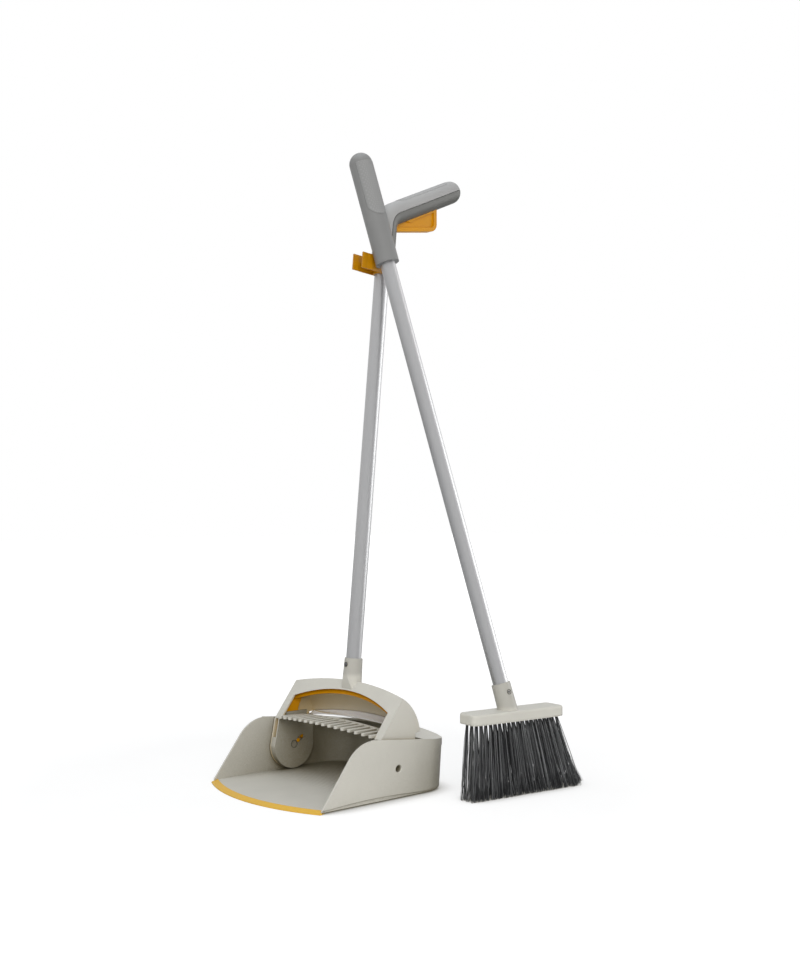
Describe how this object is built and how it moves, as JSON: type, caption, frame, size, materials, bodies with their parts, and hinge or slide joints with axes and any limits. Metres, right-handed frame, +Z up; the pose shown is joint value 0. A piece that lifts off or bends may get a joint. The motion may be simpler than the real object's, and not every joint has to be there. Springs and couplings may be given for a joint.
{
  "type": "dust pan and brush set",
  "caption": "Upright dust pan with a rubber lip, tilting hood handle, comb and trigger latch, with a long-handled broom standing against its clip.",
  "frame": {"origin": "on the floor under the middle of the pan, on the pan's underside", "axes": "+Z up the handles, +Y from the lip to the rear of the pan, +X to the side the broom stands on"},
  "size_m": [0.361, 0.4291, 0.912],
  "materials": {
    "shell_plastic": "fine satin texture",
    "lip_rubber": "satin",
    "amber_plastic": "semi-gloss",
    "tube": "brushed along the tube",
    "steel": "plain",
    "grip_light": "satin",
    "grip_dark": "satin",
    "grip_soft": "matte",
    "bristle": "satin"
  },
  "bodies": {
    "handle": {"hood_shell": "shell_plastic", "side_cover_left": "shell_plastic", "side_cover_right": "shell_plastic", "hair_comb": "shell_plastic", "socket_screw": "steel", "pan_tube": "tube", "tube_clip": "amber_plastic", "grip_upper_shell": "grip_light", "grip_lower_shell": "grip_dark", "grip_inlay": "grip_soft", "grip_screw": "steel", "trigger_spring": "steel"},
    "pan": {"pan_scoop": "shell_plastic", "lip_strip": "lip_rubber"},
    "latch": {"trigger": "amber_plastic", "pull_rod": "steel", "latch_yoke": "amber_plastic"},
    "pins": {"lock_pins": "amber_plastic"},
    "broom": {"broom_head": "shell_plastic", "bristle_row_1": "bristle", "bristle_row_2": "bristle", "bristle_row_3": "bristle", "broom_screw": "steel", "broom_tube": "tube", "broom_grip": "grip_light", "broom_grip_pad": "grip_soft"}
  },
  "joints": [
    {"name": "pan_tilt", "type": "hinge", "parent": "handle", "child": "pan", "pos_m": [0, 0.0267, 0.0409], "axis": [-1, 0, 0], "range_deg": [-6, 80]},
    {"name": "trigger_squeeze", "type": "slide", "parent": "handle", "child": "latch", "axis": [0, 0.0948, 0.9955], "range_m": [0, 0.005], "stiffness_N_per_m": 800, "springref_m": -0.004, "deforming": ["trigger_spring"]},
    {"name": "lock_pins", "type": "slide", "parent": "handle", "child": "pins", "axis": [0, 0.8358, 0.549], "range_m": [0, 0.0091]},
    {"name": "broom_lift", "type": "slide", "parent": "handle", "child": "broom", "axis": [0, 0, 1], "range_m": [0, 0.3]}
  ],
  "couplings": [
    {"joint": "lock_pins", "follows": "trigger_squeeze", "ratio": 1.82}
  ]
}
